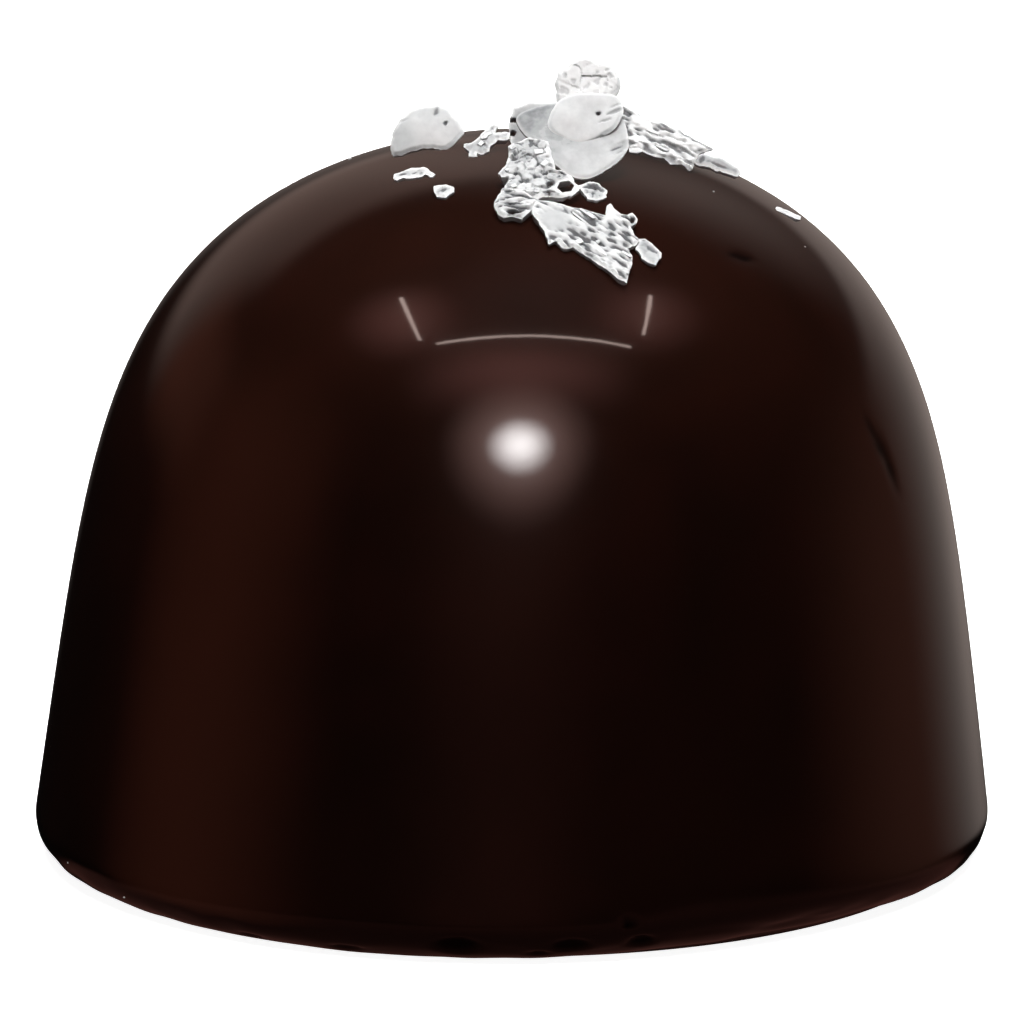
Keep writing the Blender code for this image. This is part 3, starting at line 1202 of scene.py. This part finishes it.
FLAKES: tuple[SaltFlake, ...] = (
    SaltFlake(
        "left_shell", (-2.90, -0.10), 0.50, -10, 40, 0.35,
        ((-0.90, -0.70), (-0.78, -0.95), (-0.58, -0.97), (-0.31, -0.88), (-0.02, -0.80),
         (0.36, -0.72), (0.57, -0.76), (0.78, -0.74), (0.98, -0.50), (1.20, -0.18), (1.20, -0.05),
         (1.05, 0.20), (0.75, 0.55), (0.45, 0.70), (0.00, 0.65), (-0.40, 0.50),
         (-0.70, 0.20), (-0.90, -0.25)),
        surface=SaltSurface.SHELL, dish=0.26, grain=200.0, tone=0.62, shade=(0.0, -0.10),
        pits=(Pit((0.33, 0.46), 0.07, 0.03, 2.4, 84.0, 0.5),
              Pit((0.66, 0.08), 0.05, 0.06, 1.4, 60.0, 0.9)),
    ),
    SaltFlake(
        "left_shard", (-1.15, -1.40), 0.25, 0, 50, 0.35,
        ((-0.60, -0.18), (-0.60, -0.30), (-0.45, -0.45), (-0.45, -0.65), (-0.20, -0.65),
         (-0.22, -0.52), (-0.05, -0.60), (0.08, -0.50), (0.20, -0.25), (0.40, -0.05),
         (0.75, 0.00), (0.75, 0.27), (0.30, 0.25), (0.40, 0.50), (0.25, 0.60),
         (0.10, 0.40), (-0.05, 0.25), (-0.25, 0.00), (-0.40, -0.12)),
        grain=40.0, tone=0.38,
        chips=(Chip((-0.02, 0.02), 0.18),), crystals=3,
    ),
    SaltFlake(
        "left_sliver", (-3.15, -2.70), 0.05, -25, 64, 0.30,
        ((-0.50, -0.32), (-0.45, -0.50), (-0.30, -0.60), (-0.15, -0.45), (0.15, -0.45),
         (0.35, -0.33), (0.45, -0.20), (0.70, -0.30), (0.75, -0.15), (0.25, 0.15),
         (-0.05, 0.05), (-0.20, -0.05), (-0.40, -0.22)),
        tone=0.66,
        pits=(Pit((-0.22, -0.30), 0.05, 0.04, 2.0, 20.0, 0.8),
              Pit((0.10, -0.20), 0.04, 0.04, 2.5, 50.0, 0.7)),
    ),
    SaltFlake(
        "left_crumb", (-2.30, -4.30), 0.05, -20, 60, 0.30,
        ((-0.27, 0.02), (-0.22, -0.22), (-0.05, -0.42), (0.20, -0.45), (0.38, -0.15),
         (0.33, 0.02), (0.05, 0.12)),
        tone=0.66,
        pits=(Pit((0.08, -0.12), 0.07, 0.04, 1.5, 70.0, 0.7),),
    ),
    SaltFlake(
        "leaning_shell", (1.85, -2.70), 0.60, 8, 50, 0.30,
        ((-1.99, 1.08), (-1.90, 0.50), (-1.49, -0.09), (-1.04, -0.85), (-0.59, -1.29),
         (-0.10, -1.36), (0.45, -1.06), (0.91, -0.64), (1.14, -0.14), (1.06, 0.83),
         (0.48, 1.41), (-0.69, 1.49), (-1.43, 1.40)),
        is_round=True, surface=SaltSurface.SHELL, dish=0.18, grain=30.0, tone=0.42,
        shade=(0.09, -0.12),
        pits=(Pit((0.72, -0.36), 0.035, 0.02, 6.0, 28.0, 0.45),
              Pit((0.84, -0.48), 0.030, 0.02, 5.0, 28.0, 0.35)),
    ),
    SaltFlake(
        "upper_shell", (1.75, -2.15), 1.35, 4, 42, 0.30,
        ((-1.10, -0.30), (-0.85, -0.80), (-0.20, -1.15), (0.40, -0.90), (0.90, -0.50),
         (1.10, 0.10), (0.80, 0.55), (-0.55, 0.50)),
        is_round=True, surface=SaltSurface.SHELL, dish=0.12, grain=28.0, tone=0.65,
        pits=(Pit((0.36, -0.12), 0.055, 0.08, 1.2, 0.0, 1.5),
              Pit((0.55, -0.36), 0.035, 0.02, 5.0, 22.0, 0.5),
              Pit((0.42, -0.88), 0.040, 0.02, 4.5, 30.0, 0.8)),
    ),
    SaltFlake(
        "back_crystal", (1.85, -1.20), 1.50, 0, 30, 0.45,
        ((-0.95, 0.10), (-0.98, 0.46), (-0.88, 0.80), (-0.62, 0.96), (-0.45, 1.19),
         (-0.05, 1.26), (0.30, 1.11), (0.55, 1.08), (0.90, 0.64), (0.94, 0.36),
         (0.82, 0.05), (0.75, -1.40), (-0.65, -1.40)),
        # Full whiteness here is partly painted light, for a steep plate that the overhead lamp
        # barely reaches.
        tone=1.0, crystals=3,
    ),
    SaltFlake(
        "back_plate", (0.30, -0.45), 0.55, -12, 35, 0.35,
        ((-0.75, -0.15), (-0.68, 0.12), (-0.70, 0.42), (-0.45, 0.50), (-0.20, 0.62),
         (0.65, 0.65), (0.85, -0.80), (-0.55, -0.80), (-0.66, -0.45)),
        surface=SaltSurface.SHELL, grain=10.0, tone=0.38, shade=(-0.06, 0.16),
        pits=(Pit((-0.62, 0.00), 0.06, 0.10, 2.2, 8.0, 2.0),
              Pit((-0.60, -0.43), 0.08, 0.10, 1.2, 0.0, 2.0)),
    ),
    SaltFlake(
        "rough_crystal", (0.60, -3.90), 0.35, -4, 57, 0.55,
        ((-1.10, 0.70), (-1.05, 0.30), (-1.12, -0.10), (-1.32, -0.45), (-1.20, -0.60),
         (-0.98, -0.55), (-1.00, -0.80), (-1.12, -1.05), (-0.60, -1.30), (-0.10, -1.50),
         (0.05, -1.40), (0.45, -1.42), (0.85, -1.36), (1.08, -1.15), (1.08, -0.92),
         (0.92, -0.78), (0.80, -0.50), (0.60, -0.36), (0.35, -0.25), (0.20, 0.25),
         (0.05, 0.90), (-0.50, 1.05)),
        surface=SaltSurface.ROUGH, tone=0.62,
        holes=(Pit((0.67, -0.97), 0.26),),
        pits=(Pit((0.55, -0.42), 0.045, 0.05, 3.0, -25.0, 1.4),
              Pit((0.24, -0.90), 0.060, 0.06, 2.2, 40.0, 1.2),
              Pit((0.22, -1.24), 0.040, 0.05, 4.0, 2.0, 1.4),
              Pit((-0.86, 0.78), 0.050, 0.04, 3.5, -40.0, 0.8),
              Pit((-0.88, 0.16), 0.060, 0.05, 1.8, 20.0, 0.9),
              Pit((-0.94, -0.67), 0.045, 0.04, 2.5, 10.0, 1.0)),
        chips=(Chip((-0.20, 0.35), 0.26, 15.0), Chip((0.02, -0.12), 0.24, 60.0)),
        crystals=5,
    ),
    SaltFlake(
        "front_lobe", (-0.30, -5.50), 0.10, -6, 60, 0.50,
        ((-0.35, 0.50), (-0.47, 0.10), (-0.52, -0.25), (-0.40, -0.62), (-0.20, -0.80),
         (0.05, -0.74), (0.35, -0.85), (0.52, -0.50), (0.72, -0.20), (0.75, 0.00),
         (0.30, 0.35), (-0.05, 0.50)),
        surface=SaltSurface.STRIATED, grain=-4.0, tone=0.56,
        pits=(Pit((-0.14, 0.02), 0.05, 0.06, 2.2, 0.0, 1.4),
              Pit((0.16, -0.26), 0.04, 0.05, 5.0, -5.0, 1.1),
              Pit((0.11, -0.56), 0.06, 0.08, 3.4, -4.0, 1.6),
              Pit((-0.33, -0.40), 0.05, 0.05, 1.3, 0.0, 1.1)),
    ),
    SaltFlake(
        "right_wing", (4.20, -0.45), 0.55, 5, 42, 0.30,
        ((-1.60, 1.30), (-1.78, 0.50), (-1.62, 0.00), (-1.20, -0.20), (-0.95, -0.32),
         (-0.45, -0.55), (-0.20, -0.62), (0.00, -0.85), (0.35, -0.85), (0.55, -1.05),
         (0.66, -1.00), (0.75, -0.72), (0.90, -0.50), (1.30, -0.34), (1.02, -0.15),
         (0.65, 0.08), (0.45, 0.20), (0.35, 0.38), (0.05, 0.45), (-0.40, 0.70),
         (-0.68, 0.78), (-0.95, 1.05), (-1.35, 1.25)),
        surface=SaltSurface.STRIATED, grain=-31.0, tone=0.84, shade=(0.0, -0.14), rim_tone=0.3,
        needles=2,
    ),
    SaltFlake(
        "right_tip", (5.60, -0.25), 0.15, 8, 48, 0.30,
        ((-0.60, 0.45), (-0.70, 0.20), (-0.45, 0.05), (-0.18, -0.02), (0.00, -0.12),
         (0.35, -0.25), (0.60, -0.40), (0.72, -0.22), (0.65, -0.05), (0.42, 0.18),
         (0.15, 0.35), (-0.10, 0.42), (-0.30, 0.55)),
        surface=SaltSurface.SHELL, grain=-25.0, tone=0.22,
        pits=(Pit((0.10, 0.02), 0.05, 0.03, 5.0, -27.0, 0.5),
              Pit((-0.38, 0.26), 0.06, 0.03, 2.5, 60.0, 0.5)),
    ),
    SaltFlake(
        "front_plate", (1.85, -6.55), 0.00, 15, 58, 0.40,
        ((-1.48, 0.95), (-1.40, 0.60), (-1.30, 0.10), (-1.27, -0.42), (-1.05, -0.33),
         (-0.88, -0.65), (-0.60, -0.62), (-0.30, -1.00), (0.10, -1.50), (0.47, -2.05),
         (0.64, -2.20), (0.80, -1.76), (0.97, -1.40), (1.07, -1.10), (0.98, -0.78),
         (1.22, -0.66), (1.40, -0.50), (1.30, -0.15), (1.28, 0.12), (1.45, 0.20),
         (1.57, 0.42), (1.45, 0.70), (1.28, 0.64), (1.12, 0.66), (0.97, 0.90),
         (0.90, 1.12), (0.76, 1.00), (0.64, 0.66), (0.40, 0.76), (0.05, 0.95),
         (-0.30, 1.07), (-0.80, 1.35), (-1.25, 1.42)),
        surface=SaltSurface.STRIATED, grain=-50.0, tone=0.56,
        calm=Pit((-0.90, 0.55), 0.50),
        pits=(Pit((1.36, 0.36), 0.06, 0.10, 1.4, 10.0, 2.0),),
        needles=6, crystals=3,
    ),
    SaltFlake(
        "front_chip", (3.65, -6.60), 0.00, 22, 57, 0.35,
        ((-0.25, 0.38), (-0.46, 0.02), (-0.42, -0.40), (-0.27, -0.66), (-0.12, -0.70),
         (0.15, -0.42), (0.22, -0.24), (0.05, 0.16), (-0.08, 0.37)),
        tone=0.42,
        pits=(Pit((-0.02, -0.12), 0.09, 0.04, 2.2, -50.0, 0.5),),
    ),
    SaltFlake(
        "middle_crumb", (2.00, -4.35), 0.05, 22, 62, 0.35,
        ((-0.47, 0.10), (-0.45, -0.25), (-0.40, -0.55), (-0.15, -0.67), (0.20, -0.52),
         (0.33, -0.25), (0.20, 0.10), (-0.05, 0.22)),
        tone=0.40,
        pits=(Pit((-0.04, -0.06), 0.15, 0.06, 1.7, -5.0, 0.9),),
    ),
    SaltFlake(
        "right_needle", (7.70, -0.55), 0.00, 60, 58, 0.30,
        ((-0.50, 0.15), (-0.34, 0.26), (-0.18, 0.20), (0.02, -0.04), (0.20, -0.35),
         (0.06, -0.46), (-0.10, -0.40), (-0.26, -0.14)),
    ),
    SaltFlake(
        "right_crumb", (3.25, -0.70), 0.12, 0, 50, 0.30,
        ((-0.22, 0.12), (-0.18, -0.14), (0.05, -0.22), (0.22, -0.12), (0.16, 0.10)),
        # Full whiteness here is partly painted light, lifting the crumb out of the wing's shadow.
        tone=1.0,
    ),
)

SPECKS: tuple[SaltSpeck, ...] = (
    SaltSpeck(68.4, 20.03, 0.07),
    SaltSpeck(73.5, 18.45, 0.05),
    SaltSpeck(150.0, 20.10, 0.10),
    SaltSpeck(210.0, 19.60, 0.12),
    SaltSpeck(255.0, 20.30, 0.08),
    SaltSpeck(-52.0, 0.60, 0.045),
    SaltSpeck(-66.0, 0.85, 0.04),
    SaltSpeck(196.0, 1.10, 0.08),
)


@dataclass
class SaltTopping:
    """All the salt on the crown, joined into one piece."""

    profile: DomeProfile
    finish: FlakySalt
    cutter: FlakeCutter = field(default_factory=FlakeCutter)
    flakes: tuple[SaltFlake, ...] = FLAKES
    specks: tuple[SaltSpeck, ...] = SPECKS
    sharp_degrees: float = 32.0

    def build(self) -> bpy.types.Object:
        """Make the salt's mesh and dress it.

        Returns:
            The salt object.
        """
        crust = Crust()
        for seed, flake in enumerate(self.flakes, start=1):
            before = len(crust.faces)
            self.cutter.cut(flake, seed, crust, flake.placement(self.profile))
            LOG.info("flake %s: %d faces", flake.name, len(crust.faces) - before)
        for seed, speck in enumerate(self.specks):
            radius = self.profile.radius_at(speck.height)
            spin = Matrix.Rotation(math.radians(speck.around), 4, "Z")
            place = Matrix.Translation(Vector((0.0, -radius, speck.height)))
            sides = (speck.size, 0.8 * speck.size, 0.9 * speck.size)
            matrix = self.profile.lean() @ spin @ place
            self.cutter.set_block(crust, matrix, (0.0, 0.0), 0.0, sides, 40.0 * seed, seed)
        salt = add_mesh(
            "sea_salt_flakes", (np.vstack(crust.corners) * MM).tolist(), crust.faces,
            self.finish.material(), ("frost_and_shade", np.concatenate(crust.frost_and_shade)),
        )
        salt.data.validate()
        salt.data.shade_smooth()
        salt.data.set_sharp_from_angle(angle=math.radians(self.sharp_degrees))
        salt.visible_glossy = False
        return salt


# Studio


class SeenBy(Enum):
    """Which rays a lamp serves: the body colour, the gloss, or both."""

    BOTH = "both"
    GLOSS = "gloss"
    BODY_COLOUR = "body colour"


@dataclass(frozen=True)
class SoftLamp:
    """A flat soft lamp that faces the praline.

    around is its direction from the front towards +X and above its height over the horizon,
    in degrees. width and tall are the angles that it fills and glow is the radiance at its
    middle. fade is the share of each half over which it dims towards its sides, and fade_up
    towards its top and bottom. A round lamp dims evenly from its middle to its rim.
    """

    name: str
    around: float
    above: float
    width: float
    tall: float
    glow: float
    colour: str = "#FFFFFF"
    seen_by: SeenBy = SeenBy.BOTH
    fade: float = 1.0
    fade_up: float = 1.0
    is_round: bool = False
    distance: float = 0.8

    def build(self) -> bpy.types.Object:
        """Add the lamp.

        Returns:
            The light object.
        """
        turn, rise = math.radians(self.around), math.radians(self.above)
        way = Vector((
            math.sin(turn) * math.cos(rise), -math.cos(turn) * math.cos(rise), math.sin(rise),
        ))
        across = 2.0 * self.distance * math.tan(math.radians(self.width / 2.0))
        up = 2.0 * self.distance * math.tan(math.radians(self.tall / 2.0))
        lamp = add_panel(self.name, across, up, self.glow, self.colour, self.seen_by)
        self.dim(lamp.data)
        lamp.location = Vector((0.0, 0.0, 10.0 * MM)) + way * self.distance
        lamp.rotation_euler = (-way).to_track_quat("-Z", "Y").to_euler()
        return lamp

    def dim(self, light: bpy.types.Light) -> None:
        """Dim the lamp's face towards its edges, as a diffuser does.

        Args:
            light: The lamp's light.
        """
        light.use_nodes = True
        sheet = NodeSheet(light.node_tree)
        face = sheet.add("NewGeometry", {}, "Parametric")
        if self.is_round:
            middle = {0: face, 1: (0.5, 0.5, 0.0)}
            apart = sheet.add("VectorMath", middle, "Value", operation="DISTANCE")
            strength = sheet.span(apart, (0.5, 0.0), curve=SMOOTH)
        else:
            shares = []
            for axis, faded in (("X", self.fade), ("Y", self.fade_up)):
                side = sheet.add("SeparateXYZ", {"Vector": face}, axis)
                apart = sheet.math("ABSOLUTE", sheet.math("SUBTRACT", side, 0.5))
                shares.append(sheet.span(apart, (0.5, 0.5 - faded / 2.0), curve=SMOOTH))
            strength = sheet.math("MULTIPLY", *shares)
        sheet.close("Light", sheet.add("Emission", {"Color": WHITE, "Strength": strength}))


def add_panel(
    name: str, across: float, up: float, glow: float, colour: str, seen_by: SeenBy,
) -> bpy.types.Object:
    """Add a rectangular lamp at the origin, shining down.

    Args:
        name: Name of the lamp.
        across: Its width in metres.
        up: Its other side in metres.
        glow: Its radiance.
        colour: Its colour as sRGB hex.
        seen_by: Which rays it serves.

    Returns:
        The light object.
    """
    light = bpy.data.lights.new(name, "AREA")
    light.shape = "RECTANGLE"
    light.size = across
    light.size_y = up
    light.energy = glow * math.pi * across * up
    light.color = linear(colour)[:3]
    lamp = add_object(name, light)
    lamp.visible_camera = False
    lamp.visible_diffuse = seen_by is not SeenBy.GLOSS
    lamp.visible_glossy = seen_by is not SeenBy.BODY_COLOUR
    lamp.visible_transmission = seen_by is not SeenBy.GLOSS
    return lamp


@dataclass
class Studio:
    """White sweep, the room's faint light and the lamps. Lengths here are in metres."""

    paper: SweepPaper
    sweep_radius: float = 3.0
    lamp_frame_height: float = 0.6
    strip_width: float = 0.010
    strip_glow: float = 10.0
    strip_tint: str = "#FFE6DC"
    room_tint: Colour = (1.0, 0.93, 0.9, 1.0)
    room_glow: float = 0.002
    lamps: tuple[SoftLamp, ...] = (
        SoftLamp("window", 0.0, 35.6, 20.0, 16.5, 27.0, "#FFFFFF", SeenBy.GLOSS, is_round=True),
        SoftLamp("window_halo", 0.0, 36.5, 44.0, 40.0, 3.2, "#FFC4B8", SeenBy.GLOSS,
                 is_round=True),
        SoftLamp("front_glow", 0.0, 58.0, 64.0, 30.0, 1.2, "#FFADA4", SeenBy.GLOSS),
        SoftLamp("front_sheen", -4.0, 12.0, 60.0, 70.0, 0.11, "#FF9C88", SeenBy.GLOSS),
        SoftLamp("low_bounce", 0.0, -82.0, 150.0, 150.0, 0.085, "#FFA090", SeenBy.GLOSS, 0.4, 0.4),
        SoftLamp("ceiling", 0.0, 89.0, 110.0, 110.0, 0.11, "#FF9F84", SeenBy.GLOSS),
        SoftLamp("overhead", 60.0, 86.0, 60.0, 50.0, 19.5, "#FFFFFF", SeenBy.BODY_COLOUR),
        SoftLamp("front_fill", -5.0, 15.0, 50.0, 40.0, 1.35, "#FFFFFF", SeenBy.BODY_COLOUR),
        SoftLamp("back_fill", 180.0, -8.0, 120.0, 76.0, 2.6, "#FFFFFF", SeenBy.BODY_COLOUR),
        SoftLamp("right_back", 158.0, 0.0, 84.0, 34.0, 0.31, "#FFEAE0", SeenBy.GLOSS, 1.0, 0.4),
        SoftLamp("right_side", 108.0, -4.0, 76.0, 60.0, 0.18, "#FFA58C", SeenBy.GLOSS),
        SoftLamp("back", 164.0, 32.0, 64.0, 46.0, 0.26, "#FFEAE0", SeenBy.GLOSS),
        SoftLamp("left_high", 202.0, 24.0, 58.0, 40.0, 0.26, "#FFDCCE", SeenBy.GLOSS, 0.7, 0.45),
        SoftLamp("left_back", 239.0, 18.0, 44.0, 30.0, 0.20, "#FF9C80", SeenBy.GLOSS, 0.8, 0.8),
        SoftLamp("left_side", 279.0, 0.0, 76.0, 90.0, 0.27, "#FF8E6F", SeenBy.GLOSS, 1.0, 0.7),
    )

    def strips(self) -> list[bpy.types.Object]:
        """Hang three thin strips that mirror as fine lines, and a soft glow over two of them.

        Returns:
            The lamps.
        """
        height = self.lamp_frame_height
        layout = (
            ("left_strip", -0.425, -0.125, 0.0, self.strip_width, 0.35 * height),
            ("front_strip", 0.065, -0.35, 0.0, 0.85 * height, self.strip_width),
            ("right_strip", 0.49, -0.085, 11.0, self.strip_width, 0.31 * height),
        )
        lamps = [
            SoftLamp(name, around, above, 36.0, 30.0, glow, "#FFADA4", SeenBy.GLOSS,
                     is_round=True).build()
            for name, around, above, glow in (
                ("left_strip_glow", 285.0, 64.0, 1.0), ("right_strip_glow", 80.0, 63.0, 0.8),
            )
        ]
        for name, x, y, turn, across, up in layout:
            lamp = add_panel(name, across, up, self.strip_glow, self.strip_tint, SeenBy.GLOSS)
            lamp.location = (x * height, y * height, height)
            lamp.rotation_euler = (0.0, 0.0, math.radians(turn))
            lamps.append(lamp)
        return lamps

    def sweep(self) -> bpy.types.Object:
        """Lay the round white floor.

        Returns:
            The floor object.
        """
        turns = np.radians(np.arange(0.0, 360.0, 5.0))
        ring = np.stack([np.cos(turns), np.sin(turns)], axis=1)
        radii = (0.02, 0.06, 0.2, 0.7, self.sweep_radius)
        corners = [(0.0, 0.0, 0.0)]
        corners += [(x * r, y * r, 0.0) for r in radii for x, y in ring]
        count = len(ring)
        faces: list[Face] = []
        for step in range(count):
            after = (step + 1) % count
            faces.append((0, 1 + step, 1 + after))
            for level in range(len(radii) - 1):
                inner, outer = 1 + level * count, 1 + (level + 1) * count
                faces.append((inner + step, outer + step, outer + after, inner + after))
        floor = add_mesh("white_sweep", corners, faces, self.paper.material())
        floor.visible_glossy = False
        floor.visible_diffuse = False
        return floor

    def room(self) -> bpy.types.World:
        """Fill the room with a faint even light.

        Returns:
            The world.
        """
        world = bpy.data.worlds.new("dim_room")
        world.use_nodes = True
        sheet = NodeSheet(world.node_tree)
        glow = {"Color": self.room_tint, "Strength": self.room_glow}
        sheet.close("World", sheet.add("Background", glow))
        bpy.context.scene.world = world
        return world

    def build(self) -> None:
        """Set up the floor, the room's light and every lamp."""
        self.sweep()
        self.room()
        lamps = [lamp.build() for lamp in self.lamps] + self.strips()
        LOG.info("studio: %d lamps", len(lamps))


@dataclass(frozen=True)
class Viewpoint:
    """The photograph's camera, level and a little above the praline."""

    target_height: float = 10.0
    distance: float = 300.0
    above: float = 12.89
    lens: float = 358.2
    sensor: float = 36.0
    shift_x: float = 0.0008

    def build(self) -> bpy.types.Object:
        """Add the camera and make it the scene's.

        Returns:
            The camera object.
        """
        data = bpy.data.cameras.new("photograph")
        data.lens = self.lens
        data.sensor_width = self.sensor
        data.shift_x = self.shift_x
        data.clip_start = 0.01
        data.clip_end = 20.0
        camera = add_object("photograph", data)
        rise = math.radians(self.above)
        way = Vector((0.0, -math.cos(rise), math.sin(rise)))
        camera.location = (Vector((0.0, 0.0, self.target_height)) + way * self.distance) * MM
        camera.rotation_euler = (-way).to_track_quat("-Z", "Y").to_euler()
        bpy.context.scene.camera = camera
        bpy.context.scene.view_settings.view_transform = "Standard"
        return camera


def settle(piece: bpy.types.Object, slot: str) -> None:
    """Let a piece ride on the praline's body and stand for its solid.

    Args:
        piece: The finished piece.
        slot: Name of its material slot, which is only logged.
    """
    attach(piece, BODY)
    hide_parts(NODE)
    LOG.info("%s: %d faces, slot %s", piece.name, len(piece.data.polygons), slot)


def main() -> None:
    """Build the praline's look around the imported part."""
    logging.basicConfig(level=logging.INFO, format="%(name)s: %(message)s")
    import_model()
    Viewpoint().build()
    Studio(SweepPaper()).build()
    profile = DomeProfile()
    settle(ChocolateBody(profile, TemperedChocolate()).build(), "dark_chocolate")
    settle(SaltTopping(profile, FlakySalt()).build(), "sea_salt")


if __name__ == "__main__":
    main()
